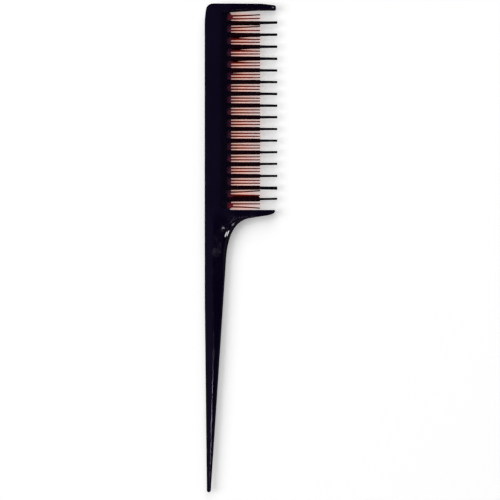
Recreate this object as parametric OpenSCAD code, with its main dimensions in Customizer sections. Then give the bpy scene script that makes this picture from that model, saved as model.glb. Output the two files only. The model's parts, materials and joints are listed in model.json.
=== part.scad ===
// Rat tail comb: a spine with two end guards and a long pointed tail, moulded in one piece,
// and three strips of teeth set in a channel along the spine.
// The comb lies flat: X runs from the back edge to the tooth tips, Y from the tail to the head,
// and Z is the thickness. The origin is on the table, under the middle of the comb.

/* [Overall] */
// Length from the tip of the tail to the head
comb_l = 216; // [208:1:226]
// Width from the back edge to the tips of the long teeth
comb_w = 32.1; // [30:0.1:34]
// Thickness of the spine and of the roots of the guards
spine_t = 6.4; // [6:0.1:8]

/* [Spine and guards] */
// Width of the spine, up to the lip of its channel
spine_w = 7.8; // [7:0.1:8.4]
// Wall left behind the channel, at the back edge
back_wall = 2.5; // [1.5:0.1:4]
// Width of the upper guard towards its end
guard_w = 2.65; // [2:0.05:3.2]
// Thickness of each guard at its end
guard_tip_t = 4; // [3:0.1:5]

/* [Long teeth] */
// Number of long teeth in each black row
long_count = 16; // [14:1:16]
// Distance from one long tooth to the next
tooth_pitch = 5.2; // [5:0.05:5.4]
// Width of a long tooth at its root
long_root_w = 2.1; // [1.6:0.05:2.3]
// Width of a long tooth at its tip
long_tip_w = 0.95; // [0.6:0.05:1.1]

/* [Fine teeth] */
// How far the fine teeth reach from the back edge
fine_reach = 24.5; // [22:0.1:27]
// Width of a fine tooth at its root
fine_root_w = 0.8; // [0.6:0.05:0.9]
// Width of a fine tooth at its tip
fine_tip_w = 0.55; // [0.4:0.05:0.6]

/* [Tail] */
// Width of the tail where it meets the throat
tail_root_w = 9.4; // [8:0.1:10]
// Thickness of the tail where it meets the throat
tail_root_t = 5.2; // [4:0.1:6]
// Width and thickness of the tail at its rounded tip
tail_tip_d = 1.8; // [1.2:0.1:2.5]
// How far the tip of the tail sits in from the back edge
tail_sweep = 0.9; // [0.5:0.1:2]

/* [Hidden] */
$fn = 48;

// A cut runs this far past the face that it opens.
overcut = 1;

// The window is the opening between the guards. The rows stand a little nearer the lower guard.
row_drop = 0.55;
window_l = (long_count + 1) * tooth_pitch;
window_top = comb_l - guard_w;
window_bottom = window_top - window_l;
top_guard_reach = comb_w - 0.6;
low_guard_reach = comb_w - 1;

// A short block of the spine closes each end of the channel, and a fillet joins it to the guard.
// The upper guard thickens towards its block.
top_block_l = 1.35;
low_block_l = 0.6;
block_stand_out = 3.3;
block_reach = spine_w + block_stand_out;
block_fillet = 0.5;
guard_thickening = 0.6;
guard_thickening_reach = 23.5;

// The upper guard falls a little to its end, where its underside is chamfered and its nose is round.
guard_fall_l = 6;
guard_fall = 0.5;
guard_nose_l = 1.2;
guard_nose_w = 1.5;
guard_chamfer = 0.3;

// The head's back corner is rounded, and the back edge leans in to meet it.
corner_l = 4;
corner_w = 3;
corner_bulge = 0.9;
corner_inset = 0.5;
back_lean_l = 8;

// Each black row takes the same share of the channel's depth as the fine row between them.
wall_t = 1.1;
strip_t = (spine_t - 2 * wall_t) / 3;
strip_gap = 0.05;
strip_l = window_l - top_block_l - low_block_l - 2 * strip_gap;

// The black webs stand out of the channel, and the fine row's web stands out of them.
long_web_stand_out = 2;
fine_web_stand_out = 1.85;
long_gullet = spine_w + long_web_stand_out;
long_gullet_r = 0.5;
long_tip_t = 0.6;
long_tip_inset = 0.35;
fine_gullet = long_gullet + fine_web_stand_out;
fine_gullet_r = 0.2;
fine_tip_t = 0.65;
fine_pitch = tooth_pitch / 4;
fine_count = 4 * long_count + 2;
tooth_tip_r = 0.2;
tooth_waist = 0.55;
fillet_overlap = 0.05;

// The fine row's web runs deeper in a few gaps, and some of them open slowly beyond it, as a notch:
// [number of the tooth above the gap, extra depth, length of the notch].
fine_flash = fine_reach - fine_gullet - 0.8;
deep_webs = [
    [1, 0.8, 0],
    [8, 3.4, 5.5],
    [12, 4.1, 5.5],
    [16, 2.8, 5.5],
    [20, 0.6, 5.5],
    [fine_count - 4, fine_flash, 0],
    [fine_count - 1, 0.8, 0]
];

// The lower guard's underside falls from its nose to the throat, which curves down to the tail.
low_guard_nose_l = 3.5;
low_guard_nose_w = 2.4;
low_guard_slope = 0.155;
throat_reach = 20;
throat_drop = 22;
throat_y = window_bottom - throat_drop;
ramp_l = 14;

// The tail's back edge is straight up to the bend, where it meets the straight back of the spine.
tail_bend_y = 85;
tail_bend_r = 1.7;
slice_h = 0.05;
edge_r = 0.6;

// Points on a curve that leaves a towards b and reaches c from b.
function bend(a, b, c, steps = 10) =
    [for (i = [0 : steps]) let (t = i / steps) a * (1 - t) ^ 2 + 2 * b * t * (1 - t) + c * t ^ 2];

// The tooth side of the tail, and the underside of the lower guard, as straight lines.
function tail_front(y) = tail_sweep + tail_tip_d
    + (tail_root_w - tail_sweep - tail_tip_d) * y / throat_y;
function low_guard_under(x) = window_bottom - low_guard_nose_w
    - low_guard_slope * (low_guard_reach - low_guard_nose_l - x);

// The middle of each tooth, counted from the head. No fine tooth stands in line with a long one.
function long_y(i) = window_top - row_drop - i * tooth_pitch;
function fine_y(i) = long_y(1) + (3.5 - i) * fine_pitch;

// The two lines meet here, outside the throat's curve.
throat_corner_x = tail_front(low_guard_under(tail_root_w));
throat_corner = [throat_corner_x, low_guard_under(throat_corner_x)];

throat_curve = bend(
    [tail_root_w, throat_y],
    throat_corner,
    [throat_reach, low_guard_under(throat_reach)],
    16
);

low_guard_nose = bend(
    [low_guard_reach - low_guard_nose_l, low_guard_under(low_guard_reach - low_guard_nose_l)],
    [low_guard_reach, low_guard_under(low_guard_reach)],
    [low_guard_reach, window_bottom],
    8
);

low_block = concat(
    bend(
        [block_reach + block_fillet, window_bottom],
        [block_reach, window_bottom],
        [block_reach, window_bottom + block_fillet],
        6
    ),
    [[block_reach, window_bottom + low_block_l], [back_wall, window_bottom + low_block_l]]
);

top_block = concat(
    [[back_wall, window_top - top_block_l], [block_reach, window_top - top_block_l]],
    bend(
        [block_reach, window_top - guard_thickening - block_fillet],
        [block_reach, window_top - guard_thickening],
        [block_reach + block_fillet, window_top - guard_thickening],
        6
    ),
    [[guard_thickening_reach, window_top]]
);

top_guard_end = concat(
    [[top_guard_reach - guard_chamfer, window_top], [top_guard_reach, window_top + guard_chamfer]],
    bend(
        [top_guard_reach, comb_l - guard_nose_w],
        [top_guard_reach, comb_l - guard_fall],
        [top_guard_reach - guard_nose_l, comb_l - guard_fall],
        6
    ),
    [[top_guard_reach - guard_fall_l, comb_l]]
);

head_corner = bend([corner_l, comb_l], [corner_bulge, comb_l], [corner_inset, comb_l - corner_w], 8);

// The outline of the spine, guards and throat, with the channel still solid.
module head_plan() {
    polygon(concat(
        [[0, throat_y]],
        throat_curve,
        low_guard_nose,
        low_block,
        top_block,
        top_guard_end,
        head_corner,
        [[0, comb_l - back_lean_l]]
    ));
    translate([back_wall - overcut, window_bottom])
        square([spine_w - back_wall + overcut, window_l]);
}

// The thickness across the comb: rounded at the back edge, then thinning along the guards.
module head_section() {
    flat_w = block_reach + block_fillet;
    for (side = [-1, 1])
        translate([edge_r, side * (spine_t / 2 - edge_r)])
            circle(r = edge_r);
    translate([0, edge_r - spine_t / 2])
        square([edge_r, spine_t - 2 * edge_r]);
    translate([edge_r, -spine_t / 2])
        square([flat_w - edge_r, spine_t]);
    polygon([
        [flat_w, -spine_t / 2],
        [comb_w, -guard_tip_t / 2],
        [comb_w, guard_tip_t / 2],
        [flat_w, spine_t / 2]
    ]);
}

// The thickness along the comb: the throat thins down to the root of the tail.
module head_side() {
    polygon([
        [throat_y, -tail_root_t / 2],
        [throat_y + ramp_l, -spine_t / 2],
        [comb_l, -spine_t / 2],
        [comb_l, spine_t / 2],
        [throat_y + ramp_l, spine_t / 2],
        [throat_y, tail_root_t / 2]
    ]);
}

module head() {
    intersection() {
        linear_extrude(spine_t, center = true)
            head_plan();
        translate([0, comb_l, 0])
            rotate([90, 0, 0])
                linear_extrude(comb_l)
                    head_section();
        rotate([90, 0, 90])
            linear_extrude(comb_w)
                head_side();
    }
}

// A thin slice of the tail, a rectangle with corners of radius r, as wide as the tail is at y.
module tail_slice(y, r) {
    w = tail_front(y);
    t = tail_tip_d + (tail_root_t - tail_tip_d) * y / throat_y;
    for (x = [r, w - r])
        for (side = [-1, 1])
            translate([x, y, side * (t / 2 - r)])
                rotate([90, 0, 0])
                    cylinder(h = slice_h, r = r, $fn = 32);
}

// The tail is square-edged like the spine where it leaves the throat, and round further down.
module tail() {
    hull() {
        tail_slice(throat_y + slice_h, edge_r);
        tail_slice(tail_bend_y, tail_bend_r);
    }
    hull() {
        tail_slice(tail_bend_y, tail_bend_r);
        translate([tail_sweep + tail_tip_d / 2, tail_tip_d / 2, 0])
            sphere(d = tail_tip_d, $fn = 32);
    }
}

// The slot along the tooth side of the spine that holds the three strips.
module channel() {
    translate([back_wall, window_bottom + low_block_l, -1.5 * strip_t])
        cube([block_reach - back_wall + overcut, strip_l + 2 * strip_gap, 3 * strip_t]);
}

// A tooth along X, drawn in plan. It narrows quickly, then runs slender to a blunt tip.
module tooth_plan(root_x, tip_x, root_w, tip_w, fillet_r) {
    waist_x = root_x + tooth_waist * (tip_x - root_x);
    side = bend(
        [root_x - fillet_r, -root_w / 2],
        [waist_x, -tip_w / 2],
        [tip_x - tooth_tip_r, -tip_w / 2]
    );
    last = len(side) - 1;
    polygon(concat(
        side,
        [[tip_x, tooth_tip_r - tip_w / 2], [tip_x, tip_w / 2 - tooth_tip_r]],
        [for (i = [last : -1 : 0]) [side[i].x, -side[i].y]]
    ));
    for (side = [-1, 1])
        translate([tip_x - tooth_tip_r, side * (tip_w / 2 - tooth_tip_r)])
            circle(r = tooth_tip_r);
    for (side = [0, 1])
        mirror([0, side, 0])
            translate([root_x, root_w / 2 - fillet_overlap])
                gullet_fillet(fillet_r);
}

// The small rounded corner between a tooth and the web that carries it.
module gullet_fillet(r) {
    difference() {
        translate([-r, -r])
            square(2 * r);
        translate([r, r])
            circle(r = r);
    }
}

// The web of a strip, from the floor of the channel to the gullets between the teeth.
module web_plan(gullet_x) {
    translate([back_wall, window_bottom + low_block_l + strip_gap])
        square([gullet_x - back_wall, strip_l]);
}

module long_strip_plan() {
    web_plan(long_gullet);
    for (i = [1 : long_count])
        translate([0, long_y(i)])
            tooth_plan(long_gullet, comb_w, long_root_w, long_tip_w, long_gullet_r);
}

module fine_strip_plan() {
    web_plan(fine_gullet);
    for (i = [1 : fine_count])
        translate([0, fine_y(i)])
            tooth_plan(fine_gullet, fine_reach, fine_root_w, fine_tip_w, fine_gullet_r);
    for (web = deep_webs)
        translate([fine_gullet, fine_y(web[0] + 0.5)])
            deep_web_plan(web[1], web[2]);
}

// The filling of the gap between two fine teeth, up to their middles, with a notch in its open end.
module deep_web_plan(depth, notch_l) {
    half_gap = (fine_pitch - fine_tip_w) / 2;
    polygon([
        [-overcut, -fine_pitch / 2],
        [depth + notch_l, -fine_pitch / 2],
        [depth + notch_l, -half_gap],
        [depth, 0],
        [depth + notch_l, half_gap],
        [depth + notch_l, fine_pitch / 2],
        [-overcut, fine_pitch / 2]
    ]);
}

// A long tooth leans in towards the middle of the comb, and thins, from its gullet to its tip.
module long_strip_section() {
    inner = strip_t / 2;
    outer = inner + strip_t;
    polygon([
        [0, inner],
        [long_gullet, inner],
        [comb_w, long_tip_inset],
        [comb_w, long_tip_inset + long_tip_t],
        [long_gullet, outer],
        [0, outer]
    ]);
}

// The fine row thins from the black gullets outwards, faster than the long teeth lean in, so it stays clear.
module fine_strip_section() {
    polygon([
        [0, -strip_t / 2],
        [long_gullet, -strip_t / 2],
        [fine_reach, -fine_tip_t / 2],
        [fine_reach, fine_tip_t / 2],
        [long_gullet, strip_t / 2],
        [0, strip_t / 2]
    ]);
}

// A strip is its plan, cut to its section: child 0 is the plan and child 1 is the section.
module strip() {
    intersection() {
        linear_extrude(spine_t, center = true)
            children(0);
        translate([0, comb_l, 0])
            rotate([90, 0, 0])
                linear_extrude(comb_l)
                    children(1);
    }
}

module long_strip() {
    strip() {
        long_strip_plan();
        long_strip_section();
    }
}

// Moves a piece from the drawing's corner to the comb's own origin.
module placed() {
    translate([-comb_w / 2, -comb_l / 2, spine_t / 2])
        children();
}

module comb_body() {
    color("#0f0b1c")
        placed()
            difference() {
                union() {
                    head();
                    tail();
                }
                channel();
            }
}

module front_long_tooth_strip() {
    color("#14141c")
        placed()
            long_strip();
}

module fine_tooth_strip() {
    color("#7d4a46")
        placed()
            strip() {
                fine_strip_plan();
                fine_strip_section();
            }
}

module back_long_tooth_strip() {
    color("#14141c")
        placed()
            mirror([0, 0, 1])
                long_strip();
}

comb_body();
front_long_tooth_strip();
fine_tooth_strip();
back_long_tooth_strip();
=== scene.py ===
"""Looks for the rat tail comb: four moulded pieces, their plastics, and a pale studio.

Lengths in the shape functions are millimetres from the drawing's corner: x from the back edge of the comb,
y from the tip of its tail, z from its mid-plane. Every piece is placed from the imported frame's own boxes.
"""

import json
import math
import random

import bmesh
import bpy
import numpy as np
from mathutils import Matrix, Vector
from mathutils.geometry import delaunay_2d_cdt

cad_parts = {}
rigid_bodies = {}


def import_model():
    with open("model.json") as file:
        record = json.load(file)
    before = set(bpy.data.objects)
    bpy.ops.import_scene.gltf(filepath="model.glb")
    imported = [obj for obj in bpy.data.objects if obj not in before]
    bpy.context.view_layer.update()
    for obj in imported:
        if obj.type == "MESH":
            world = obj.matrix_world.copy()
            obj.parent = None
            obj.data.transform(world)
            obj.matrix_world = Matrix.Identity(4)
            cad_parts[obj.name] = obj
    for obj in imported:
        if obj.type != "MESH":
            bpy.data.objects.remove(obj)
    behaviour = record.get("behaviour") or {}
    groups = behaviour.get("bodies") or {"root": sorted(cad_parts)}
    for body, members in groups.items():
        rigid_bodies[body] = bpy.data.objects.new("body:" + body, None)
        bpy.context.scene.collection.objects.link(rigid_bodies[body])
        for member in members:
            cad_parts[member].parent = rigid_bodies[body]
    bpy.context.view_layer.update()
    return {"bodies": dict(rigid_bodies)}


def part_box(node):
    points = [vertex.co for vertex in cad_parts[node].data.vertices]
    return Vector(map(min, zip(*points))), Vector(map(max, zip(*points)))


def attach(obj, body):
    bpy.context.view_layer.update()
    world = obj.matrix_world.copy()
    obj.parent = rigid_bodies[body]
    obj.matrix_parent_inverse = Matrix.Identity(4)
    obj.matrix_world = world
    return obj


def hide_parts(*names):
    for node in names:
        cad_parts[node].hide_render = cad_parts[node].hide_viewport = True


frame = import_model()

MM = 0.001
body_low, body_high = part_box("comb_body")
long_low, long_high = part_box("front_long_tooth_strip")
_, fine_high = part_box("fine_tooth_strip")
CORNER = Vector((body_low.x, body_low.y, (body_low.z + body_high.z) / 2))


def from_corner(point):
    """A frame position, in metres, as millimetres from the drawing's corner."""
    return (point - CORNER) / MM


# ---------------------------------------------------------------- sizes read from the frame, in millimetres

LENGTH = from_corner(body_high).y
GUARD_REACH = from_corner(body_high).x
HALF_T = from_corner(body_high).z
CHANNEL_FLOOR = from_corner(long_low).x
LONG_REACH = from_corner(long_high).x
FINE_REACH = from_corner(fine_high).x
STRIP_LOW = from_corner(long_low).y
STRIP_HIGH = from_corner(long_high).y
STRIP_T = 2 * from_corner(fine_high).z


# ---------------------------------------------------------------- driving sizes, in millimetres

# The window is the opening between the guards. A short block of the spine closes each end of the channel.
TOP_BLOCK = 1.35
LOW_BLOCK = 0.6
BLOCK_REACH = 11.1
BLOCK_FILLET = 0.5
STRIP_GAP = 0.05
WINDOW_BOTTOM = STRIP_LOW - LOW_BLOCK - STRIP_GAP
WINDOW_TOP = STRIP_HIGH + TOP_BLOCK + STRIP_GAP

# Spine and guards. The guards thin towards their ends, and the upper one thickens towards its block.
SPINE_W = 7.8
CHANNEL_REACH = SPINE_W + 1.5
WEDGE_START = 12.1
GUARD_END_HALF_T = 2.0
GUARD_THICKENING = 0.6
GUARD_THICKENING_REACH = 23.5
GUARD_CORNER_R = 0.5
LOW_GUARD_REACH = GUARD_REACH - 0.4
LOW_GUARD_NOSE_L = 3.5
LOW_GUARD_NOSE_W = 2.4
LOW_GUARD_SLOPE = 0.155
LOW_GUARD_CORNER_R = 0.35

# Curves round the head, each as three points: how far in from the guard's end and how far down from the head.
# Those of the head's corner and of the lean below it are measured in from the back edge.
GUARD_NOSE = ((0, 1.5), (0, 0.6), (1.2, 0.5))
GUARD_FALL = ((4, 0.25), (6, 0), (8, 0))
HEAD_CORNER = ((4, 0), (0.9, 0), (0.5, 3))
BACK_LEAN = ((0.12, 6.5), (0, 8), (0, 9.5))

# Teeth are counted from the head. The rows stand a little nearer the lower guard.
LONG_COUNT = 16
PITCH = (WINDOW_TOP - WINDOW_BOTTOM) / (LONG_COUNT + 1)
ROW_DROP = 0.55

# The first fine tooth stands this many fine pitches nearer the head than the first long one.
FINE_LEAD = 2.5
FINE_PITCH = PITCH / 4
FINE_COUNT = 4 * LONG_COUNT + 2

# A tooth narrows quickly up to its waist, a share of the way out, then runs slender to its tip. The bend of a
# leaning tooth grows with this power of the distance out.
TOOTH_TIP_R = 0.2
TOOTH_WAIST = 0.55
LEAN_POWER = 1.6

LONG_GULLET = 9.8
LONG_ROOT_W = 2.1
LONG_TIP_W = 0.95
LONG_FILLET = 0.5
LONG_TIP_T = 0.6
LONG_TIP_INSET = 0.35
LONG_EDGE_R = 0.3

FINE_GULLET = 11.65
FINE_ROOT_W = 0.8
FINE_TIP_W = 0.55
FINE_FILLET = 0.2
FINE_TIP_HALF_T = 0.32
FINE_EDGE_R = 0.2

# How far the tips of the teeth lean towards the head, and how much each row scatters about that. The front
# and back tips of the forked tooth lean apart.
LONG_LEANS = (0.3, 0.1, 0, -0.15, -0.1, -0.1, -0.1, -0.15, 0, -0.05, 0, 0.1, 0.2, 0, -0.15, 0.3)
LONG_SCATTER = 0.05
FORKED_TOOTH = 15
FRONT_FORK = 0.2
BACK_FORK = -0.3
BENT_FINE_TEETH = {1: 0.5, 2: 0.2, 5: 0.55, 61: 0.6, 62: -0.15, 66: -0.6}
FINE_SCATTER = 0.06

# Gaps where the fine row's web runs deeper: the tooth above the gap, the extra depth, and the length beyond
# over which the gap opens. A flash fills one gap almost to the tips.
END_WEB = 0.8
FINE_FLASH = FINE_REACH - FINE_GULLET - 0.45
DEEP_WEBS = {
    1: (END_WEB, FINE_FILLET),
    8: (3.4, 5.5),
    12: (4.1, 5.5),
    16: (2.8, 5.5),
    20: (0.6, 5.5),
    FINE_COUNT - 4: (FINE_FLASH, FINE_FILLET),
    FINE_COUNT - 1: (END_WEB, FINE_FILLET),
}

# Tail and throat
TAIL_TIP_R = 0.9
TAIL_SWEEP = 0.9
TAIL_BEND_Y = 85.0
TAIL_ROOT_W = 9.4
TAIL_ROOT_HALF_T = 2.6
THROAT_Y = WINDOW_BOTTOM - 22
THROAT_REACH = 20.0

# The tail's faces fall away on both sides of a soft ridge. It lies a share of the way across, but no further
# out than its reach. Its front slope flattens in the throat, and the whole ridge fades out below the window.
RIDGE_SHARE = 0.54
RIDGE_REACH = 3.6
RIDGE_SOFTNESS = 0.7
RIDGE_BACK_SLOPE = 0.08
RIDGE_FRONT_SLOPE = 0.26
RIDGE_THROAT_SLOPE = 0.07
RIDGE_FRONT_W = 9.0

# Stretches over which the body's thickness and its rounding change. All but the last run along the comb.
SPINE_THICKENS = (THROAT_Y - 2, THROAT_Y + 14)
RIDGE_FLATTENS = (THROAT_Y - 7, THROAT_Y + 9)
RIDGE_FADES = (WINDOW_BOTTOM - 14, WINDOW_BOTTOM + 1)
EDGE_TIGHTENS = (THROAT_Y - 11, THROAT_Y + 13)
THROAT_SOFTENS = (THROAT_Y - 8, THROAT_Y + 5)
THROAT_CRISPS = (WINDOW_BOTTOM - 6, WINDOW_BOTTOM - 3)
GUARD_END_SOFTENS = (GUARD_REACH - 4, GUARD_REACH - 1.5)

SPINE_EDGE_R = 0.4
TAIL_EDGE_R = 0.9
THROAT_EDGE_R = 2.4
GUARD_END_EXTRA_R = 0.6


# ---------------------------------------------------------------- mesh settings

# The longest edge of an outline, and the grid inside it across and along the comb, in millimetres.
BODY_EDGE_L = 1.0
BODY_GRID = (0.55, 1.4)
STRIP_EDGE_L = 2.6
STRIP_GRID = (1.4, 2.6)

# The grid keeps this share of its step clear of the rim.
GRID_MARGIN = 0.3

# A rounded edge takes at most these shares of the room across a piece and of its thickness. Its width is
# evened out along the outline.
ROUND_STEPS = 6
ROUND_SHARE = 0.85
ROUND_DEPTH_SHARE = 0.42
EVENING_PASSES = 3

# A rim keeps parallel to its outline round a corner, down to this cosine of half the turn.
MITRE_COSINE = 0.5
TOOTH_SIDE_POINTS = 9
SAME_POINT = 1e-7
CREASE = math.radians(38)


# ---------------------------------------------------------------- surfaces and studio, in metres

BUMP_DEPTH = 0.00001
WEAR_WIDTH = 0.00035

# The point that the camera is over, from the drawing's corner, its height, and the width of what it sees.
CAMERA_OVER = Vector((20.01, 107.23, 0)) * MM
CAMERA_HEIGHT = 0.85
FIELD = 0.22127

# Strengths of the table's own glow and of the light from all round.
TABLE_GLOW = 0.333
ROOM_LIGHT = 0.161

# A glint's beam fades evenly from its middle to its edge, so it fills a third of its cone.
GLINT_SPREAD = math.radians(60)
GLINT_FILL = 1 / 3


# ---------------------------------------------------------------- curves

def bend(a, b, c, steps):
    """Points on a curve that leaves a towards b and reaches c from b."""
    a, b, c = map(np.array, (a, b, c))
    return [tuple(a * (1 - t) ** 2 + 2 * b * t * (1 - t) + c * t * t) for t in np.linspace(0, 1, steps + 1)]


def arc(centre, r, start, end, steps):
    """Points on a circle about centre, from angle start to angle end in degrees."""
    angles = np.radians(np.linspace(start, end, steps + 1))
    return [(centre[0] + r * math.cos(a), centre[1] + r * math.sin(a)) for a in angles]


def spaced(points, step):
    """The closed outline with every edge cut into parts no longer than step, and no doubled points."""
    out = []
    for i, p in enumerate(points):
        q = points[(i + 1) % len(points)]
        gap = math.dist(p, q)
        if gap < SAME_POINT:
            continue
        parts = max(1, math.ceil(gap / step))
        out += [(p[0] + (q[0] - p[0]) * k / parts, p[1] + (q[1] - p[1]) * k / parts) for k in range(parts)]
    return np.array(out)


def ease(v, low, high):
    """0 below low, 1 above high, and a smooth step between."""
    t = np.clip((v - low) / (high - low), 0, 1)
    return t * t * (3 - 2 * t)


# ---------------------------------------------------------------- outline of the body

def tail_front(y):
    """The tail's edge on the tooth side."""
    foot = TAIL_SWEEP + 2 * TAIL_TIP_R
    return foot + (TAIL_ROOT_W - foot) * y / THROAT_Y


def tail_back(y):
    """The back edge: straight, then set in a little towards the tip of the tail."""
    return TAIL_SWEEP * np.clip(1 - np.asarray(y, float) / TAIL_BEND_Y, 0, None)


def guard_under(x):
    """The underside of the lower guard, before its nose curves up."""
    return WINDOW_BOTTOM - LOW_GUARD_NOSE_W - LOW_GUARD_SLOPE * (LOW_GUARD_REACH - LOW_GUARD_NOSE_L - x)


def throat_edge():
    """The sweep from the tail's root to the underside of the lower guard."""
    corner_x = tail_front(guard_under(TAIL_ROOT_W))
    return bend(
        (TAIL_ROOT_W, THROAT_Y),
        (corner_x, guard_under(corner_x)),
        (THROAT_REACH, guard_under(THROAT_REACH)),
        steps=24,
    )


def low_guard_end():
    """The nose of the lower guard, up to its rounded corner at the window."""
    nose = LOW_GUARD_REACH - LOW_GUARD_NOSE_L
    corner = (LOW_GUARD_REACH - LOW_GUARD_CORNER_R, WINDOW_BOTTOM - LOW_GUARD_CORNER_R)
    points = bend(
        (nose, guard_under(nose)),
        (LOW_GUARD_REACH, guard_under(LOW_GUARD_REACH)),
        (LOW_GUARD_REACH, corner[1]),
        steps=8,
    )
    return points + arc(corner, LOW_GUARD_CORNER_R, 0, 90, steps=4)


def window_edge():
    """The spine's edge along the window, between the blocks that close the channel."""
    low_end = WINDOW_BOTTOM + LOW_BLOCK
    top_end = WINDOW_TOP - TOP_BLOCK
    guard_root = WINDOW_TOP - GUARD_THICKENING
    points = bend(
        (BLOCK_REACH + BLOCK_FILLET, WINDOW_BOTTOM),
        (BLOCK_REACH, WINDOW_BOTTOM),
        (BLOCK_REACH, WINDOW_BOTTOM + BLOCK_FILLET),
        steps=4,
    )
    points += [(BLOCK_REACH, low_end), (SPINE_W, low_end), (SPINE_W, top_end), (BLOCK_REACH, top_end)]
    points += bend(
        (BLOCK_REACH, guard_root - BLOCK_FILLET),
        (BLOCK_REACH, guard_root),
        (BLOCK_REACH + BLOCK_FILLET, guard_root),
        steps=4,
    )
    return points + [(GUARD_THICKENING_REACH, WINDOW_TOP)]


def head_edge():
    """The blunt end of the upper guard, the head, and its rounded corner at the back edge."""
    corner = (GUARD_REACH - GUARD_CORNER_R, WINDOW_TOP + GUARD_CORNER_R)
    points = arc(corner, GUARD_CORNER_R, -90, 0, steps=4)
    points += bend(*[(GUARD_REACH - across, LENGTH - down) for across, down in GUARD_NOSE], steps=6)
    points += bend(*[(GUARD_REACH - across, LENGTH - down) for across, down in GUARD_FALL], steps=4)
    points += bend(*[(across, LENGTH - down) for across, down in HEAD_CORNER], steps=8)
    points += bend(*[(across, LENGTH - down) for across, down in BACK_LEAN], steps=4)
    return points


def body_outline():
    """Anticlockwise, from the tail's root by the tooth side, the head and the back edge to the tail's tip."""
    tail_tip = arc((TAIL_SWEEP + TAIL_TIP_R, TAIL_TIP_R), TAIL_TIP_R, 180, 360, steps=12)
    points = throat_edge() + low_guard_end() + window_edge() + head_edge() + [(0, TAIL_BEND_Y)] + tail_tip
    return spaced(points, BODY_EDGE_L)


# ---------------------------------------------------------------- outlines of the strips

def long_y(i):
    """The middle of long tooth i."""
    return WINDOW_TOP - ROW_DROP - i * PITCH


def fine_y(i):
    """The middle of fine tooth i. No fine tooth stands in line with a long one."""
    return long_y(1) + (FINE_LEAD + 1 - i) * FINE_PITCH


def fine_gap(i):
    """The gap between fine teeth i and i + 1."""
    depth, opening = DEEP_WEBS.get(i, (0, FINE_FILLET))
    return FINE_GULLET + depth, opening


def tooth_outline(y, gaps, reach, root_w, tip_w, fillet, lean):
    """One tooth, from the gap below it round its blunt tip to the gap above. Its tip leans along y.

    A gap is the place of its gullet, and the length over which it opens: a fillet, or more for a notch.
    """
    below, above = gaps
    base = min(below[0], above[0])
    corner = reach - TOOTH_TIP_R
    waist = (base + TOOTH_WAIST * (reach - base), tip_w / 2)
    profile = np.array(bend((base - fillet, root_w / 2), waist, (corner, tip_w / 2), steps=30))

    def side(gap, sign):
        gullet, opening = gap
        x = np.linspace(gullet + opening, corner, TOOTH_SIDE_POINTS)
        drift = lean * ((x - base) / (reach - base)) ** LEAN_POWER
        edge = y + drift + sign * np.interp(x, profile[:, 0], profile[:, 1])
        deepest = (gullet, y + sign * (root_w / 2 + fillet))
        foot = [deepest, (x[0], edge[0])]
        if opening == fillet:
            foot = bend(deepest, (gullet, y + sign * root_w / 2), foot[-1], steps=3)
        return foot + list(zip(x[1:-1], edge[1:-1]))

    inset = tip_w / 2 - TOOTH_TIP_R
    tip = arc((corner, y + lean - inset), TOOTH_TIP_R, -90, 0, steps=4)
    tip += arc((corner, y + lean + inset), TOOTH_TIP_R, 0, 90, steps=4)
    return side(below, -1) + tip + side(above, 1)[::-1]


def strip_outline(teeth, gullet):
    """A strip seen from above: a straight web with the given teeth, tail end first, along its open side."""
    points = [(CHANNEL_FLOOR, STRIP_LOW), (gullet, STRIP_LOW)]
    for tooth in teeth:
        points += tooth
    points += [(gullet, STRIP_HIGH), (CHANNEL_FLOOR, STRIP_HIGH)]
    return spaced(points, STRIP_EDGE_L)


def long_strip_outline(leans):
    gap = (LONG_GULLET, LONG_FILLET)
    sizes = (LONG_REACH, LONG_ROOT_W, LONG_TIP_W, LONG_FILLET)
    numbers = range(LONG_COUNT, 0, -1)
    teeth = [tooth_outline(long_y(i), (gap, gap), *sizes, leans[i - 1]) for i in numbers]
    return strip_outline(teeth, LONG_GULLET)


def fine_strip_outline(leans):
    sizes = (FINE_REACH, FINE_ROOT_W, FINE_TIP_W, FINE_FILLET)
    numbers = range(FINE_COUNT, 0, -1)
    teeth = [tooth_outline(fine_y(i), (fine_gap(i), fine_gap(i - 1)), *sizes, leans[i - 1]) for i in numbers]
    return strip_outline(teeth, FINE_GULLET)


# ---------------------------------------------------------------- thickness of each piece

def ridge_fall(x, y):
    """How far the tail's faces have fallen away from its ridge."""
    def fall(distance):
        return np.sqrt(distance ** 2 + RIDGE_SOFTNESS ** 2) - RIDGE_SOFTNESS

    width = np.minimum(tail_front(y), TAIL_ROOT_W) - tail_back(y)
    ridge = tail_back(y) + np.minimum(RIDGE_SHARE * width, RIDGE_REACH)
    front_slope = RIDGE_FRONT_SLOPE + (RIDGE_THROAT_SLOPE - RIDGE_FRONT_SLOPE) * ease(y, *RIDGE_FLATTENS)
    back = RIDGE_BACK_SLOPE * fall(np.minimum(x - ridge, 0))
    front = front_slope * fall(np.clip(x - ridge, 0, RIDGE_FRONT_W))
    return (back + front) * (1 - ease(y, *RIDGE_FADES))


def body_half_t(x, y):
    """Half the body's thickness: a flat spine, guards that thin to their ends, and a ridged tail."""
    tail = TAIL_TIP_R + (TAIL_ROOT_HALF_T - TAIL_TIP_R) * y / THROAT_Y
    crest = tail + (HALF_T - tail) * ease(y, *SPINE_THICKENS)
    wedge_slope = (HALF_T - GUARD_END_HALF_T) / (LONG_REACH - WEDGE_START)
    wedge = wedge_slope * np.clip(x - WEDGE_START, 0, None)
    return crest - wedge - ridge_fall(x, y)


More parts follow.
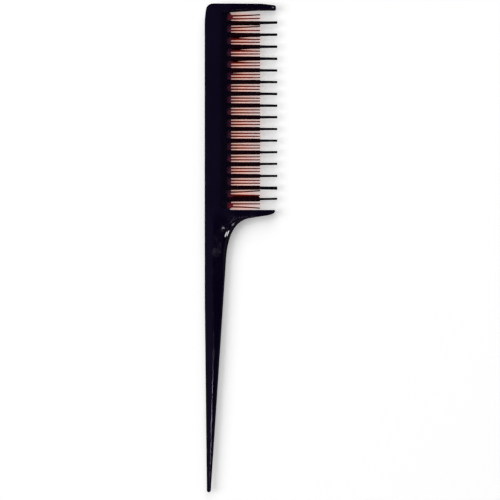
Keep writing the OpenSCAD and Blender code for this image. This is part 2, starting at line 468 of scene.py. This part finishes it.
def body_edge_r(x, y):
    """The rounding of the body's edges: tight along the spine, soft on the tail and in the throat."""
    radius = TAIL_EDGE_R + (SPINE_EDGE_R - TAIL_EDGE_R) * ease(y, *EDGE_TIGHTENS)
    throat = ease(y, *THROAT_SOFTENS) * (1 - ease(y, *THROAT_CRISPS)) * (x > TAIL_ROOT_W / 2)
    guard_end = ease(x, *GUARD_END_SOFTENS) * (y > WINDOW_TOP)
    return radius + (THROAT_EDGE_R - radius) * throat + GUARD_END_EXTRA_R * guard_end


def tapered(x, reach, at_web, at_tip):
    """A height that is level along the web, then changes evenly from the black gullets to reach."""
    share = np.clip((x - LONG_GULLET) / (reach - LONG_GULLET), 0, 1)
    return at_web + (at_tip - at_web) * share


def long_outer(x, y):
    """The face of a long row that is away from the fine teeth. It leans in to the tips."""
    return tapered(x, LONG_REACH, 1.5 * STRIP_T, LONG_TIP_INSET + LONG_TIP_T)


def long_inner(x, y):
    """The face of a long row that lies on the fine teeth."""
    return tapered(x, LONG_REACH, 0.5 * STRIP_T, LONG_TIP_INSET)


def fine_half_t(x, y):
    return tapered(x, FINE_REACH, 0.5 * STRIP_T, FINE_TIP_HALF_T)


def even(radius):
    """An edge rounding of the same radius everywhere."""
    return lambda x, y: radius + 0 * x


# ---------------------------------------------------------------- mesh building

def inward(outline):
    """The inward direction at each point of an anticlockwise outline.

    It is longer at corners, so that edges moved along it stay parallel.
    """
    ahead = np.roll(outline, -1, 0) - outline
    ahead /= np.linalg.norm(ahead, axis=1)[:, None]
    behind = np.roll(ahead, 1, 0)
    normal = np.stack([-(ahead[:, 1] + behind[:, 1]), ahead[:, 0] + behind[:, 0]], 1)
    normal /= np.linalg.norm(normal, axis=1)[:, None]
    cosine = (normal * np.stack([-ahead[:, 1], ahead[:, 0]], 1)).sum(1)
    return normal / np.clip(cosine, MITRE_COSINE, 1)[:, None]


def room(outline, normal):
    """How far each point can move inward before it meets the other side of the outline."""
    unit = normal / np.linalg.norm(normal, axis=1)[:, None]
    gap = outline[None, :, :] - outline[:, None, :]
    towards = (gap * unit[:, None, :]).sum(2)
    facing = towards > SAME_POINT
    reach = np.full(towards.shape, np.inf)
    reach[facing] = (gap ** 2).sum(2)[facing] / (2 * towards[facing])
    return reach.min(1)


def rounding(outline, normal, edge_r):
    """How far the rounded edge reaches in from each point: edge_r, or less where the piece is narrow."""
    across = np.minimum(edge_r(outline[:, 0], outline[:, 1]), ROUND_SHARE * room(outline, normal))
    for _ in range(EVENING_PASSES):
        across = np.minimum(across, (np.roll(across, 1) + across + np.roll(across, -1)) / 3)
    return across


def inside(points, loop):
    """Which points lie within a closed loop, by counting crossings."""
    hit = np.zeros(len(points), bool)
    x, y = points[:, 0], points[:, 1]
    for (ax, ay), (bx, by) in zip(loop, np.roll(loop, -1, 0)):
        if ay == by:
            continue
        hit ^= ((ay > y) != (by > y)) & (x < (bx - ax) * (y - ay) / (by - ay) + ax)
    return hit


def grid_inside(loop, step):
    """A grid of points inside the loop, clear of its edge."""
    low, high = loop.min(0), loop.max(0)
    grid_x = np.arange(low[0] + step[0] / 2, high[0], step[0])
    grid_y = np.arange(low[1] + step[1] / 2, high[1], step[1])
    points = np.stack(np.meshgrid(grid_x, grid_y), 2).reshape(-1, 2)
    points = points[inside(points, loop)]
    margin = GRID_MARGIN * min(step)
    clear = [((loop - p) ** 2).sum(1).min() > margin ** 2 for p in points]
    return points[np.array(clear, bool)]


def backs_on_rim(corners, count):
    """Whether an anticlockwise triangle runs along the rim the wrong way, which puts it outside."""
    for a, b in zip(corners, corners[1:] + corners[:1]):
        if a is not None and b is not None and a == (b + 1) % count:
            return True
    return False


def filling(rim, step):
    """The points and triangles that fill a flat rim, and the number of each point in the rim, or None."""
    flat = [Vector(p) for p in np.concatenate([rim, grid_inside(rim, step)])]
    loop = list(range(len(rim)))
    points, _, triangles, origin, _, _ = delaunay_2d_cdt(flat, [], [loop], 1, SAME_POINT, True)
    in_rim = [source[0] if source and source[0] < len(rim) else None for source in origin]
    middles = np.array([sum((points[k] for k in t), Vector((0, 0))) / 3 for t in triangles])
    kept = [
        t for t, within in zip(triangles, inside(middles, rim))
        if within and not backs_on_rim([in_rim[k] for k in t], len(rim))
    ]
    return points, kept, in_rim


def moulding(name, outline, top, bottom, edge_r, step):
    """A closed piece with the given outline, faces at top(x, y) and bottom(x, y), and rounded edges."""
    normal = inward(outline)
    across = rounding(outline, normal, edge_r)
    thick = top(outline[:, 0], outline[:, 1]) - bottom(outline[:, 0], outline[:, 1])
    down = np.minimum(across, ROUND_DEPTH_SHARE * thick)

    verts = []
    upper = []
    lower = []
    for face, sign, rings in ((top, -1, upper), (bottom, 1, lower)):
        for turn in np.linspace(0, math.pi / 2, ROUND_STEPS + 1):
            flat = outline + normal * (across * (1 - math.cos(turn)))[:, None]
            z = face(flat[:, 0], flat[:, 1]) + sign * down * (1 - math.sin(turn))
            rings.append(range(len(verts), len(verts) + len(flat)))
            verts += [(x, y, h) for (x, y), h in zip(flat, z)]

    faces = []
    stack = lower[::-1] + upper
    for low_ring, high_ring in zip(stack, stack[1:]):
        for i in range(len(outline)):
            j = (i + 1) % len(outline)
            faces.append((low_ring[i], low_ring[j], high_ring[j], high_ring[i]))

    rim = np.array([verts[i][:2] for i in upper[-1]])
    points, triangles, in_rim = filling(rim, step)
    for face, ring, turned_over in ((top, upper[-1], False), (bottom, lower[-1], True)):
        index = []
        for point, number in zip(points, in_rim):
            if number is not None:
                index.append(ring[number])
            else:
                index.append(len(verts))
                verts.append((point.x, point.y, float(face(point.x, point.y))))
        for triangle in triangles:
            corners = tuple(index[k] for k in triangle)
            faces.append(corners[::-1] if turned_over else corners)

    mesh = bpy.data.meshes.new(name)
    mesh.from_pydata([CORNER + MM * Vector(v) for v in verts], [], faces)
    piece = bpy.data.objects.new(name, mesh)
    bpy.context.scene.collection.objects.link(piece)
    clean(piece)
    return piece


def clean(piece):
    """Drops loose points, merges doubled ones, and turns every face outwards."""
    mesh = bmesh.new()
    mesh.from_mesh(piece.data)
    bmesh.ops.remove_doubles(mesh, verts=mesh.verts, dist=SAME_POINT)
    bmesh.ops.delete(mesh, geom=[v for v in mesh.verts if not v.link_faces], context="VERTS")
    bmesh.ops.recalc_face_normals(mesh, faces=mesh.faces)
    mesh.to_mesh(piece.data)
    mesh.free()


def cut_box(piece, low, high):
    """Cuts a box, in drawing millimetres, out of the piece."""
    mesh = bpy.data.meshes.new("cutter")
    corners = [(x, y, z) for x in (low[0], high[0]) for y in (low[1], high[1]) for z in (low[2], high[2])]
    sides = [(0, 1, 3, 2), (4, 6, 7, 5), (0, 4, 5, 1), (2, 3, 7, 6), (0, 2, 6, 4), (1, 5, 7, 3)]
    mesh.from_pydata([CORNER + MM * Vector(c) for c in corners], [], sides)
    cutter = bpy.data.objects.new("cutter", mesh)
    bpy.context.scene.collection.objects.link(cutter)
    cut = piece.modifiers.new("cut", "BOOLEAN")
    cut.operation = "DIFFERENCE"
    cut.solver = "EXACT"
    cut.object = cutter
    graph = bpy.context.evaluated_depsgraph_get()
    result = bpy.data.meshes.new_from_object(piece.evaluated_get(graph))
    piece.modifiers.clear()
    piece.data = result
    bpy.data.objects.remove(cutter)
    clean(piece)


def smooth(piece):
    """Smooth shading with crisp corners, and flat faces that stay flat."""
    mesh = piece.data
    mesh.polygons.foreach_set("use_smooth", [True] * len(mesh.polygons))
    mesh.set_sharp_from_angle(angle=CREASE)
    weighted = piece.modifiers.new("even_normals", "WEIGHTED_NORMAL")
    weighted.keep_sharp = True


# ---------------------------------------------------------------- pieces

def jitter(count, spread):
    return [random.uniform(-spread, spread) for _ in range(count)]


def long_leans(fork):
    """The leans of one black row. Each row scatters a little, and takes its own way at the forked tooth."""
    leans = [lean + extra for lean, extra in zip(LONG_LEANS, jitter(LONG_COUNT, LONG_SCATTER))]
    leans[FORKED_TOOTH - 1] += fork
    return leans


def fine_leans():
    leans = jitter(FINE_COUNT, FINE_SCATTER)
    for number, lean in BENT_FINE_TEETH.items():
        leans[number - 1] += lean
    return leans


def comb_body_moulding():
    """Spine, guards and tail, with the channel that holds the strips."""
    faces = (body_half_t, lambda x, y: -body_half_t(x, y))
    body = moulding("comb_body_moulding", body_outline(), *faces, body_edge_r, BODY_GRID)
    cut_box(
        body,
        (CHANNEL_FLOOR, STRIP_LOW - STRIP_GAP / 2, -1.5 * STRIP_T),
        (CHANNEL_REACH, STRIP_HIGH + STRIP_GAP / 2, 1.5 * STRIP_T),
    )
    return body


def front_long_teeth():
    outline = long_strip_outline(long_leans(FRONT_FORK))
    return moulding("front_long_teeth", outline, long_outer, long_inner, even(LONG_EDGE_R), STRIP_GRID)


def back_long_teeth():
    """The front row's mirror image, apart from its leans."""
    outline = long_strip_outline(long_leans(BACK_FORK))
    faces = (lambda x, y: -long_inner(x, y), lambda x, y: -long_outer(x, y))
    return moulding("back_long_teeth", outline, *faces, even(LONG_EDGE_R), STRIP_GRID)


def fine_teeth(leans):
    faces = (fine_half_t, lambda x, y: -fine_half_t(x, y))
    return moulding("fine_teeth", fine_strip_outline(leans), *faces, even(FINE_EDGE_R), STRIP_GRID)


# ---------------------------------------------------------------- shader nodes

class Nodes:
    """Short ways to add and join the nodes of one tree.

    Inputs take a number, a colour or another node's output.
    """

    def __init__(self, tree):
        self.tree = tree
        self.shader = tree.nodes.get("Principled BSDF")
        self.output = tree.nodes.get("Material Output") or tree.nodes.get("World Output")

    def join(self, value, socket):
        if isinstance(value, bpy.types.NodeSocket):
            self.tree.links.new(value, socket)
        elif isinstance(value, (tuple, list)) and len(value) == 3 and socket.type == "RGBA":
            socket.default_value = (*value, 1)
        else:
            socket.default_value = value

    def add(self, kind, settings=None, **inputs):
        node = self.tree.nodes.new("ShaderNode" + kind)
        for key, value in (settings or {}).items():
            setattr(node, key, value)
        for key, value in inputs.items():
            self.join(value, node.inputs[key.replace("_", " ")])
        return node

    def math(self, operation, a, b=0.0):
        node = self.add("Math", {"operation": operation})
        self.join(a, node.inputs[0])
        self.join(b, node.inputs[1])
        return node.outputs[0]

    def ramp(self, value, low, high, to_low=0.0, to_high=1.0):
        """Maps value from low..high to to_low..to_high, smoothly, and holds it beyond the ends."""
        node = self.add("MapRange", {"interpolation_type": "SMOOTHSTEP"})
        for socket, number in zip(node.inputs, (value, low, high, to_low, to_high)):
            self.join(number, socket)
        return node.outputs[0]

    def mix(self, factor, a, b):
        """One colour fading into another."""
        node = self.add("Mix", {"data_type": "RGBA"})
        self.join(factor, node.inputs["Factor"])
        self.join(a, [i for i in node.inputs if i.name == "A" and i.type == "RGBA"][0])
        self.join(b, [i for i in node.inputs if i.name == "B" and i.type == "RGBA"][0])
        return [o for o in node.outputs if o.type == "RGBA"][0]

    def blend(self, factor, a, b):
        """One shader fading into another."""
        node = self.add("MixShader")
        for socket, value in zip(node.inputs, (factor, a, b)):
            self.join(value, socket)
        return node.outputs["Shader"]

    def place(self, scale=(1, 1, 1)):
        """Object coordinates, in metres, stretched by scale."""
        where = self.add("TexCoord").outputs["Object"]
        return self.add("Mapping", Vector=where, Scale=scale).outputs["Vector"]

    def position(self, axis):
        return self.add("SeparateXYZ", Vector=self.place()).outputs[axis]

    def across(self, start, end, to_low=0.0, to_high=1.0):
        """A ramp between two distances from the back edge, in drawing millimetres."""
        return self.ramp(self.position("X"), CORNER.x + start * MM, CORNER.x + end * MM, to_low, to_high)

    def noise(self, scale, detail=3.0, stretch=(1, 1, 1)):
        return self.add("TexNoise", Vector=self.place(stretch), Scale=scale, Detail=detail).outputs[0]

    def bump(self, height, strength):
        """A normal roughened by the given height."""
        return self.add("Bump", Strength=strength, Distance=BUMP_DEPTH, Height=height).outputs["Normal"]

    def ray_is(self, kind):
        return self.add("LightPath").outputs[f"Is {kind} Ray"]

    def edge_mask(self, radius):
        """1 along sharp edges and 0 on open faces."""
        bevel = self.add("Bevel", {"samples": 4}, Radius=radius).outputs["Normal"]
        plain = self.add("NewGeometry").outputs["Normal"]
        facing = self.add("VectorMath", {"operation": "DOT_PRODUCT"})
        self.join(bevel, facing.inputs[0])
        self.join(plain, facing.inputs[1])
        sharp = 0.8
        level = 0.99
        return self.ramp(facing.outputs["Value"], sharp, level, to_low=1.0, to_high=0.0)

    def set(self, **inputs):
        for key, value in inputs.items():
            self.join(value, self.shader.inputs[key.replace("_", " ")])


def new_material(name):
    material = bpy.data.materials.new(name)
    material.use_nodes = True
    return material, Nodes(material.node_tree)


# ---------------------------------------------------------------- plastics

def handled_plastic(nodes, deep, pale, worn, rough):
    """Moulded plastic polished by use.

    Its colour is clouded from deep to pale, and worn along the edges. It has fine scratches along the comb,
    and smudges that change how rough it is.
    """
    cloud = nodes.noise(scale=70, detail=4)
    scratch = nodes.noise(scale=1, detail=6, stretch=(5200, 160, 5200))
    smudge = nodes.noise(scale=150, detail=3)
    grain = nodes.noise(scale=1900, detail=2)
    patchy = nodes.ramp(nodes.noise(scale=420, detail=3), 0.4, 0.65)
    wear = nodes.math("MULTIPLY", nodes.edge_mask(WEAR_WIDTH), patchy)

    colour = nodes.mix(nodes.ramp(cloud, 0.35, 0.68), deep, pale)
    nodes.set(Base_Color=nodes.mix(nodes.math("MULTIPLY", wear, 0.7), colour, worn))

    polish = nodes.ramp(smudge, 0.42, 0.66, rough - 0.05, rough + 0.09)
    polish = nodes.math("ADD", polish, nodes.ramp(scratch, 0.6, 0.72, 0.0, 0.1))
    nodes.set(Roughness=nodes.math("ADD", polish, nodes.math("MULTIPLY", wear, 0.25)))

    furrow = nodes.ramp(scratch, 0.58, 0.75, 0.0, -0.8)
    height = nodes.math("ADD", nodes.math("MULTIPLY", grain, 0.5), furrow)
    nodes.set(Normal=nodes.bump(height, strength=0.12))


def body_plastic():
    """Blue-black plastic of the spine, guards and tail."""
    material, nodes = new_material("body_plastic")
    blue_black = (0.0004, 0.0002, 0.0012)
    clouded = (0.0009, 0.0006, 0.0022)
    worn = (0.008, 0.007, 0.011)
    handled_plastic(nodes, blue_black, clouded, worn, rough=0.13)
    nodes.set(IOR=1.5)
    return material


def long_tooth_plastic():
    """Black plastic of the long rows.

    It is less glossy between the fine teeth, and tinted there with painted red light from the red teeth
    beside it.
    It is paler towards the tips, where hair rubs it.
    """
    material, nodes = new_material("long_tooth_plastic")
    black = (0.0002, 0.0001, 0.0008)
    red_glow_black = (0.0075, 0.0003, 0.0008)
    bare_black = (0.0022, 0.0020, 0.0032)
    rubbed_black = (0.004, 0.004, 0.006)
    fine_begin = (LONG_GULLET + 0.2, FINE_GULLET + 0.85)
    fine_end = (FINE_REACH - 0.5, FINE_REACH + 1)
    rubbed = nodes.across(FINE_GULLET + 2.35, LONG_REACH - 1.1, 0.1, 1.0)

    # Painted red light: between the fine teeth the black is tinted red, standing in for light from the red
    # teeth.
    deep = nodes.mix(nodes.across(*fine_begin), black, red_glow_black)
    deep = nodes.mix(nodes.across(*fine_end), deep, bare_black)
    pale = nodes.mix(rubbed, deep, rubbed_black)
    handled_plastic(nodes, deep, pale, rubbed_black, rough=0.3)
    nodes.set(IOR=1.36, Specular_IOR_Level=nodes.across(*fine_begin, 0.5, 0.2))
    return material


def lit_in_open_gaps(nodes):
    """Painted shade: 1 in the open gaps of the black rows, and near 0 beside a long tooth."""
    row = nodes.math("SUBTRACT", nodes.position("Y"), CORNER.y + long_y(1) * MM)
    from_tooth = nodes.math("PINGPONG", row, PITCH / 2 * MM)
    dark_until = 1.2 * MM
    bright_from = 2.0 * MM
    return nodes.ramp(from_tooth, dark_until, bright_from, 0.10, 1.0)


def window_ends(nodes):
    """1 over the last few millimetres at both ends of the window, and 0 along the rest of it."""
    middle = CORNER.y + (WINDOW_TOP + WINDOW_BOTTOM) / 2 * MM
    half_window = (WINDOW_TOP - WINDOW_BOTTOM) / 2
    outwards = nodes.math("ABSOLUTE", nodes.math("SUBTRACT", nodes.position("Y"), middle))
    return nodes.ramp(outwards, (half_window - 4.0) * MM, (half_window - 3.2) * MM)


def red_brown(nodes, in_teeth, lit):
    """The colour of the fine row: crimson in the web, browner in the teeth, with painted shade beside a long
    tooth.
    """
    crimson = ((0.042, 0.005, 0.010), (0.11, 0.009, 0.020))
    # Painted light: the web turns a brighter crimson at the ends of the window, where it is out of the shade.
    lit_end_crimson = (0.15, 0.004, 0.012)
    brown = ((0.11, 0.023, 0.006), (0.19, 0.046, 0.012))
    shaded_brown = (0.016, 0.0005, 0.0005)
    streak = nodes.ramp(nodes.noise(scale=1, detail=3, stretch=(60, 900, 300)), 0.35, 0.65)
    web = nodes.mix(window_ends(nodes), nodes.mix(streak, *crimson), lit_end_crimson)
    teeth = nodes.mix(lit, shaded_brown, nodes.mix(streak, *brown))
    return nodes.mix(in_teeth, web, teeth)


def let_through(nodes, lit):
    """Clear plastic, tinted one way for the camera and another for the light that it throws on the table."""
    shaded_red = (0.03, 0.0, 0.0)
    clear_red = (0.46, 0.105, 0.025)
    thrown_red = (1.0, 0.31, 0.0)
    thrown_grey = (0.70, 0.68, 0.70)
    near_tips = nodes.across(FINE_REACH - 4, FINE_REACH - 1.5)
    # Painted shade: for the camera the clear red turns dark beside a long tooth.
    seen = nodes.mix(lit, shaded_red, clear_red)
    thrown = nodes.mix(near_tips, thrown_red, thrown_grey)
    tint = nodes.mix(nodes.ray_is("Shadow"), seen, thrown)
    return nodes.add("BsdfTransparent", Color=tint).outputs["BSDF"]


def fine_tooth_plastic():
    """Clear red-brown plastic, cloudier crimson in the web. Beside a long tooth it is darkened by painted
    shade.

    Light that it lets through reddens the table below, and so does a painted glow seen by diffuse rays.
    """
    material, nodes = new_material("fine_tooth_plastic")
    in_teeth = nodes.across(FINE_GULLET - 0.35, FINE_GULLET + 1.35)
    # Painted shade: lit darkens the colour and the clearness of the fine teeth beside each long tooth.
    lit = lit_in_open_gaps(nodes)
    nodes.set(
        Base_Color=red_brown(nodes, in_teeth, lit),
        Roughness=nodes.ramp(nodes.noise(scale=260, detail=3), 0.35, 0.65, 0.18, 0.34),
        IOR=1.5,
        Normal=nodes.bump(nodes.noise(scale=1500, detail=2), strength=0.15),
    )
    clear_to_camera = 0.8
    clear_to_lamps = 0.97
    clearness = nodes.ramp(nodes.ray_is("Shadow"), 0.0, 1.0, clear_to_camera, clear_to_lamps)
    clearness = nodes.math("MULTIPLY", in_teeth, clearness)
    surface = nodes.blend(clearness, nodes.shader.outputs["BSDF"], let_through(nodes, lit))

    # Painted glow: the teeth emit red light for diffuse rays only, strongest at the root, in place of
    # scattered light.
    glow_at_root = 1.3
    fading = nodes.across(FINE_GULLET - 0.65, FINE_REACH - 1.3, glow_at_root, 0.0)
    glow = nodes.add("Emission", Color=(1.0, 0.2, 0.0), Strength=fading).outputs["Emission"]
    diffuse_glow_share = nodes.math("MULTIPLY", in_teeth, nodes.ray_is("Diffuse"))
    nodes.join(nodes.blend(diffuse_glow_share, surface, glow), nodes.output.inputs["Surface"])
    return material


# ---------------------------------------------------------------- studio

def floor():
    """A white table, lit a little from below. Reflections see it darker, so that edges stay crisp."""
    mesh = bpy.data.meshes.new("floor")
    reach = 3.0
    corners = [(-reach, -reach, 0), (reach, -reach, 0), (reach, reach, 0), (-reach, reach, 0)]
    mesh.from_pydata(corners, [], [(0, 1, 2, 3)])
    plane = bpy.data.objects.new("floor", mesh)
    bpy.context.scene.collection.objects.link(plane)

    material, nodes = new_material("floor_white")
    white = (0.9, 0.9, 0.9)
    reflected = (0.05, 0.04, 0.07)
    shine = nodes.ray_is("Glossy")
    nodes.set(
        Base_Color=nodes.mix(shine, white, reflected),
        Roughness=0.9,
        Specular_IOR_Level=0.0,
        Emission_Color=nodes.mix(shine, white, (0, 0, 0)),
        Emission_Strength=TABLE_GLOW,
    )
    plane.data.materials.append(material)


def world():
    """Even white light. Reflections see a dim violet room instead: darker to the right, paler low down."""
    sky = bpy.data.worlds.new("studio")
    bpy.context.scene.world = sky
    sky.use_nodes = True
    nodes = Nodes(sky.node_tree)
    base = sky.node_tree.nodes["Background"]
    nodes.join((1, 1, 1), base.inputs["Color"])
    nodes.join(ROOM_LIGHT, base.inputs["Strength"])

    left_violet = (0.125, 0.09, 0.29)
    right_violet = (0.04, 0.018, 0.13)
    low_violet = (0.20, 0.15, 0.24)
    towards = nodes.add("SeparateXYZ", Vector=nodes.add("TexCoord").outputs["Generated"]).outputs
    overhead = nodes.mix(nodes.ramp(towards["X"], -0.045, 0.03), left_violet, right_violet)
    violet = nodes.mix(nodes.ramp(towards["Z"], 0.35, 0.8), low_violet, overhead)
    seen = nodes.add("Background", Color=violet, Strength=1.0)
    light = nodes.blend(nodes.ray_is("Glossy"), base.outputs["Background"], seen.outputs["Background"])
    nodes.join(light, nodes.output.inputs["Surface"])


def camera():
    """Straight down, far enough away for the slight perspective of a copy stand."""
    data = bpy.data.cameras.new("camera")
    eye = bpy.data.objects.new("camera", data)
    data.lens = 50
    data.sensor_width = data.lens * FIELD / CAMERA_HEIGHT
    eye.location = CORNER + CAMERA_OVER + Vector((0, 0, CAMERA_HEIGHT))
    bpy.context.scene.collection.objects.link(eye)
    bpy.context.scene.camera = eye


def area_light(name, place, size, power, aim=(0, 0, 0), tint=(1, 1, 1), spread=math.pi, reflected=False):
    """A soft lamp. A reflected lamp shows in reflections and lights nothing; the others never reflect."""
    light = bpy.data.lights.new(name, "AREA")
    light.shape = "RECTANGLE"
    light.size, light.size_y = size
    light.energy = power
    light.color = tint
    light.spread = spread
    lamp = bpy.data.objects.new(name, light)
    lamp.location = place
    lamp.rotation_euler = (Vector(aim) - Vector(place)).to_track_quat("-Z", "Y").to_euler()
    lamp.visible_diffuse = not reflected
    lamp.visible_transmission = not reflected
    lamp.visible_glossy = reflected
    bpy.context.scene.collection.objects.link(lamp)


def ridge_light(name, y, length, power, tint):
    """A long lamp beside the camera, mirrored as a pale line along the tail's ridge."""
    beside = 0.09
    width = 0.015
    tail = (0, -0.07, 0)
    area_light(name, (beside, y, CAMERA_HEIGHT), (width, length), power, tail, tint, reflected=True)


def glint(name, spot, distance, size, brightness):
    """A small lamp set, distance metres away, where the body's surface at spot mirrors it into the camera."""
    eye = bpy.context.scene.camera.location
    target = CORNER + MM * Vector((*spot, HALF_T))
    towards = (target - eye).normalized()
    _, place, normal, _ = body.ray_cast(eye, towards)
    lamp = place + distance * towards.reflect(normal)
    beam = GLINT_FILL * math.pi * (GLINT_SPREAD / 2) ** 2
    power = brightness * beam * size[0] * size[1]
    area_light(name, lamp, size, power, aim=place, spread=GLINT_SPREAD, reflected=True)


def lights():
    area_light("key_left", place=(-2.75, 0, 2.75), size=(2.5, 2.5), power=80)
    area_light("key_head", place=(-0.25, 2.5, 2.75), size=(3.5, 3.5), power=72)
    ridge_light("ridge_glint", y=-0.18, length=0.10, power=0.11, tint=(0.9, 0.8, 1))
    ridge_light("ridge_glow", y=-0.255, length=0.05, power=0.019, tint=(0.85, 0.65, 1))

    # Each glint's spot on the comb, then the distance, size and brightness of its lamp.
    glint("throat_streak_low", (TAIL_ROOT_W + 0.1, THROAT_Y + 11.15), 0.005, (0.0022, 0.0009), 32)
    glint("throat_streak_high", (TAIL_ROOT_W + 0.95, THROAT_Y + 11.55), 0.005, (0.0020, 0.0009), 42)
    glint("guard_streak", (TAIL_ROOT_W + 3.3, WINDOW_BOTTOM - 6.45), 0.003, (0.0008, 0.0006), 22)
    glint("throat_dot", (TAIL_ROOT_W - 1.2, WINDOW_BOTTOM - 8.05), 0.004, (0.0006, 0.0002), 55)
    glint("guard_tip_spot", (GUARD_REACH - 1.3, LENGTH - 1.8), 0.004, (0.0008, 0.0008), 5)


# ---------------------------------------------------------------- the comb in its studio

# The leans are drawn in this order: the fine row's, the front row's, then the back row's.
random.seed(7)
drawn_fine_leans = fine_leans()
body = comb_body_moulding()
front = front_long_teeth()
back = back_long_teeth()
fine = fine_teeth(drawn_fine_leans)

tooth_plastic = long_tooth_plastic()
STANDS_FOR = {
    "comb_body": (body, "body_plastic", body_plastic()),
    "front_long_tooth_strip": (front, "long_tooth_plastic", tooth_plastic),
    "back_long_tooth_strip": (back, "long_tooth_plastic", tooth_plastic),
    "fine_tooth_strip": (fine, "fine_tooth_plastic", fine_tooth_plastic()),
}
(comb,) = frame["bodies"]  # one rigid body
for node, (piece, slot, material) in STANDS_FOR.items():
    smooth(piece)
    piece.data.materials.clear()
    piece.data.materials.append(material)
    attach(piece, comb)
    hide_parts(node)

floor()
world()
camera()
lights()
bpy.context.scene.view_settings.view_transform = "Standard"
